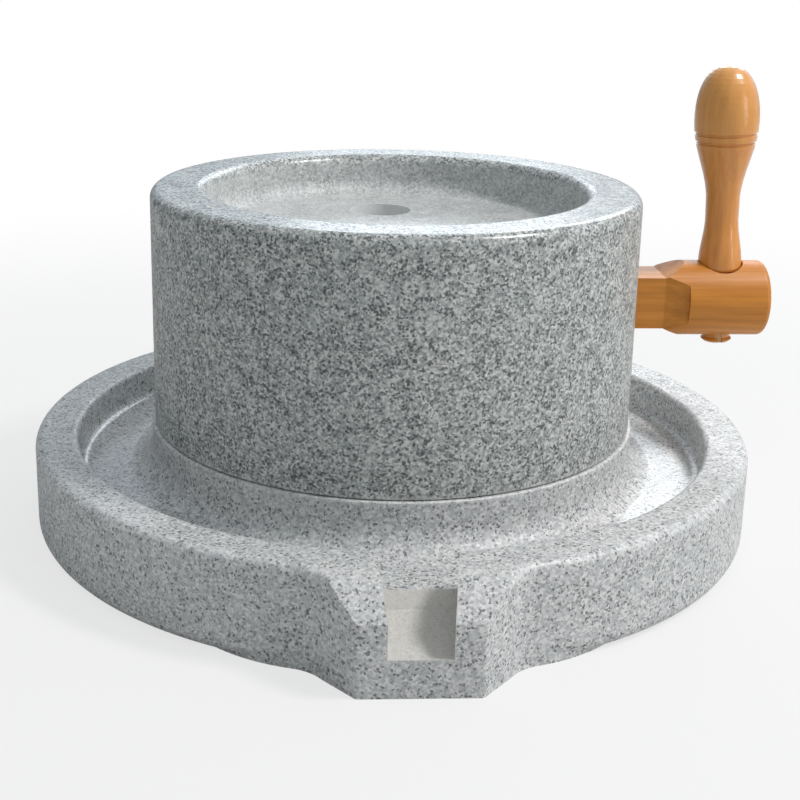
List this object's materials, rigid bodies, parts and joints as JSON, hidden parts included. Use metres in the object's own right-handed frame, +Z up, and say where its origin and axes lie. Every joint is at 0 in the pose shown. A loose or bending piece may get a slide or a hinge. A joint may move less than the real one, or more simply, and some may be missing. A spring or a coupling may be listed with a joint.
{
  "type": "stone grain mill",
  "caption": "Hand-cranked granite mill: a runner stone with a hopper dish turns on a spindle above a bed stone with a collecting trough and spout; wooden crank arm with a turned handle.",
  "frame": {"origin": "centre of the base stone's underside, on the spindle's axis", "axes": "+Z up along the spindle, -Y out through the spout, +X along the crank arm at rest"},
  "size_m": [0.3815, 0.389, 0.2362],
  "materials": {
    "granite": "speckled grey granite, honed sides and polished upper faces",
    "steel": "turned steel",
    "cement": "rough set cement",
    "varnished_wood": "honey-coloured varnished hardwood",
    "wedge_wood": "bare pale hardwood"
  },
  "bodies": {
    "base": {"base_stone": "granite", "spindle": "steel", "spindle_grout": "cement"},
    "washers": {"thrust_washers": "steel"},
    "runner": {"runner_stone": "granite", "runner_bush": "steel", "bush_grout": "cement", "crank_arm": "varnished_wood", "arm_wedge": "wedge_wood"},
    "handle": {"handle": "varnished_wood", "handle_wedge": "wedge_wood"}
  },
  "joints": [
    {"name": "runner_spin", "type": "hinge", "parent": "base", "child": "washers", "pos_m": [0, 0, 0.0524], "axis": [0, 0, 1], "continuous": true},
    {"name": "runner_lift", "type": "slide", "parent": "washers", "child": "runner", "axis": [0, 0, 1], "range_m": [0, 0.06]},
    {"name": "handle_spin", "type": "hinge", "parent": "runner", "child": "handle", "pos_m": [0.172, 0, 0.12975], "axis": [-0.0349, 0, 0.9994], "continuous": true}
  ]
}
